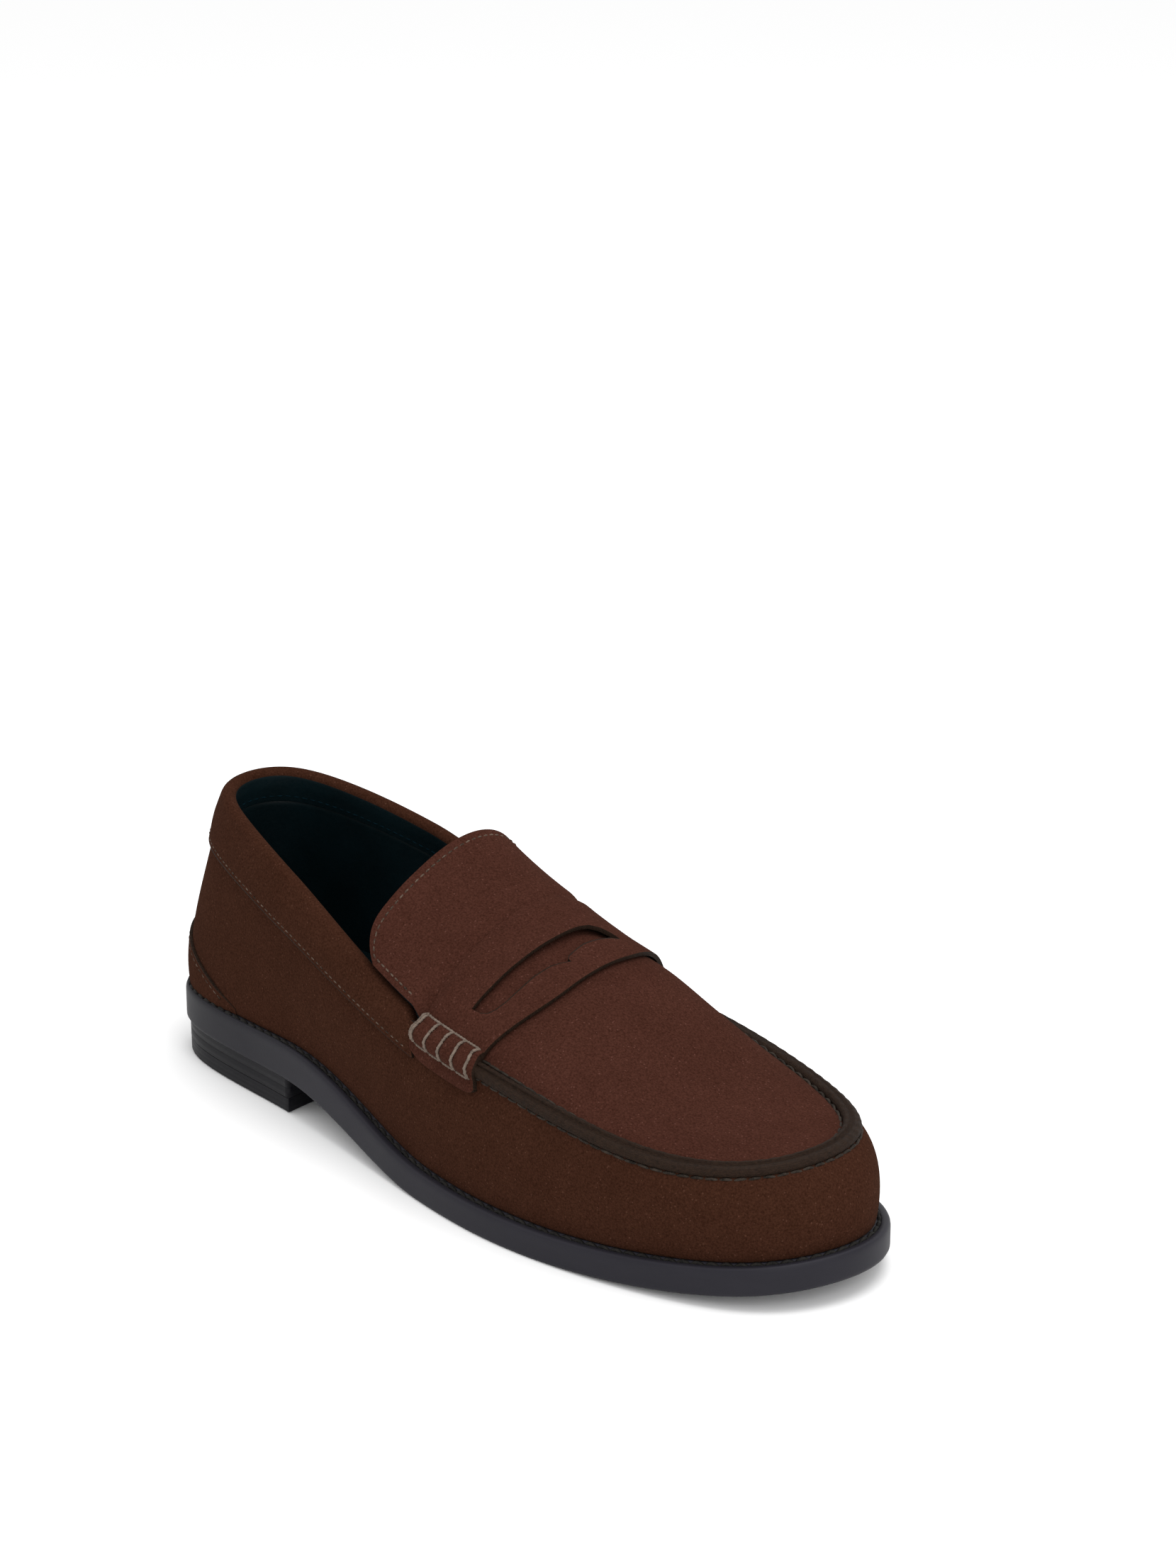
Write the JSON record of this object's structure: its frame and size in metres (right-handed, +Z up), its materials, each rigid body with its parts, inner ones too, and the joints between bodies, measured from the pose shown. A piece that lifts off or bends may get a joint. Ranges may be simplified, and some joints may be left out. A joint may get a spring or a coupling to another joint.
{
  "type": "penny loafer",
  "caption": "Right-foot penny loafer in brown suede: moccasin apron with a raised seam, slotted saddle strap with lashed rolls, low heel.",
  "frame": {"origin": "under the middle of the sole's length and width, on the ground that the heel's top piece and the ball of the outsole stand on", "axes": "+X from heel to toe, +Y to the wearer's left, which is the inner (big toe) side of this right shoe, +Z up"},
  "size_m": [0.2989, 0.102, 0.0969],
  "materials": {
    "suede_wall": "suede",
    "suede_apron": "suede",
    "suede_edge": "matte",
    "lining": "matte",
    "sole_rubber": "matte",
    "welt_rubber": "matte",
    "board": "matte",
    "cork": "matte",
    "steel": "satin",
    "foam": "matte",
    "lashing_thread": "waxed thread"
  },
  "bodies": {
    "shoe": {"top_piece": "sole_rubber", "heel_lift_1": "sole_rubber", "heel_lift_2": "sole_rubber", "heel_nail_1": "steel", "heel_nail_2": "steel", "heel_nail_3": "steel", "heel_nail_4": "steel", "heel_nail_5": "steel", "outsole": "sole_rubber", "welt": "welt_rubber", "shank": "steel", "cork_filler": "cork", "insole_board": "board", "sock_liner": "lining", "heel_pad": "foam", "vamp_wall": "suede_wall", "quarter_lining": "lining", "vamp_lining": "lining", "heel_counter": "board", "toe_puff": "board", "collar_band": "suede_wall", "collar_foam": "foam", "heel_foxing": "suede_wall", "back_strip": "suede_wall", "apron": "suede_apron", "apron_lining": "lining", "saddle_strap": "suede_apron", "apron_seam_ridge": "suede_edge", "roll_outer": "suede_edge", "strap_tab_outer": "suede_apron", "roll_lashing_outer": "lashing_thread", "roll_inner": "suede_edge", "strap_tab_inner": "suede_apron", "roll_lashing_inner": "lashing_thread"},
    "tongue_flap": {"tongue": "suede_apron", "tongue_lining": "lining"}
  },
  "joints": [
    {"name": "tongue_lift", "type": "hinge", "parent": "shoe", "child": "tongue_flap", "pos_m": [0.0014, 0, 0.0838], "axis": [0, 1, 0], "range_deg": [0, 32], "stiffness_Nm_per_rad": 0.15}
  ]
}
